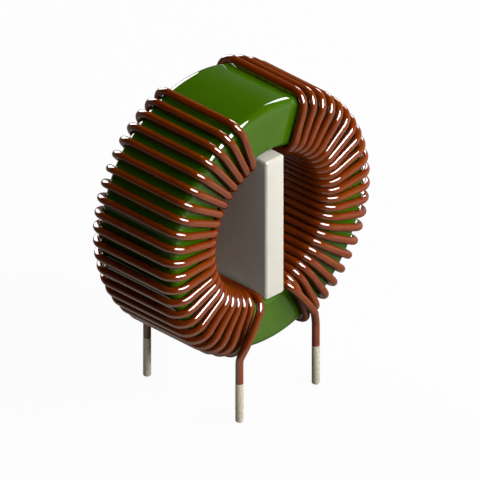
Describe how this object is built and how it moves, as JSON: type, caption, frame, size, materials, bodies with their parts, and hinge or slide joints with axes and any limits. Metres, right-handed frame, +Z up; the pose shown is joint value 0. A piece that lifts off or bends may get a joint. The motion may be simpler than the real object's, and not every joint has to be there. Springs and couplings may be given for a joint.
{
  "type": "toroidal inductor",
  "caption": "Upright ring-core choke with two mirrored enamelled-wire windings, a divider plate in the bore and tinned wire leads that it stands on.",
  "frame": {"origin": "on the ring's centre line, at the height of the lead tips that the part stands on", "axes": "+Z up along the leads, -Y towards the front face along the ring's axis, +X to the right-hand winding"},
  "size_m": [0.0386, 0.0196, 0.0449],
  "materials": {
    "ferrite": "sintered, matte",
    "green_epoxy": "smooth cured coating",
    "cream_plastic": "smooth, satin to gloss",
    "enamelled_copper": "clear brown enamel over bright copper",
    "solder": "dipped tin solder, satin"
  },
  "bodies": {
    "root": {"ferrite_ring": "ferrite", "epoxy_coating": "green_epoxy", "divider_plate": "cream_plastic", "left_winding": "enamelled_copper", "right_winding": "enamelled_copper", "left_front_lead_solder": "solder", "left_back_lead_solder": "solder", "right_front_lead_solder": "solder", "right_back_lead_solder": "solder"}
  },
  "joints": []
}
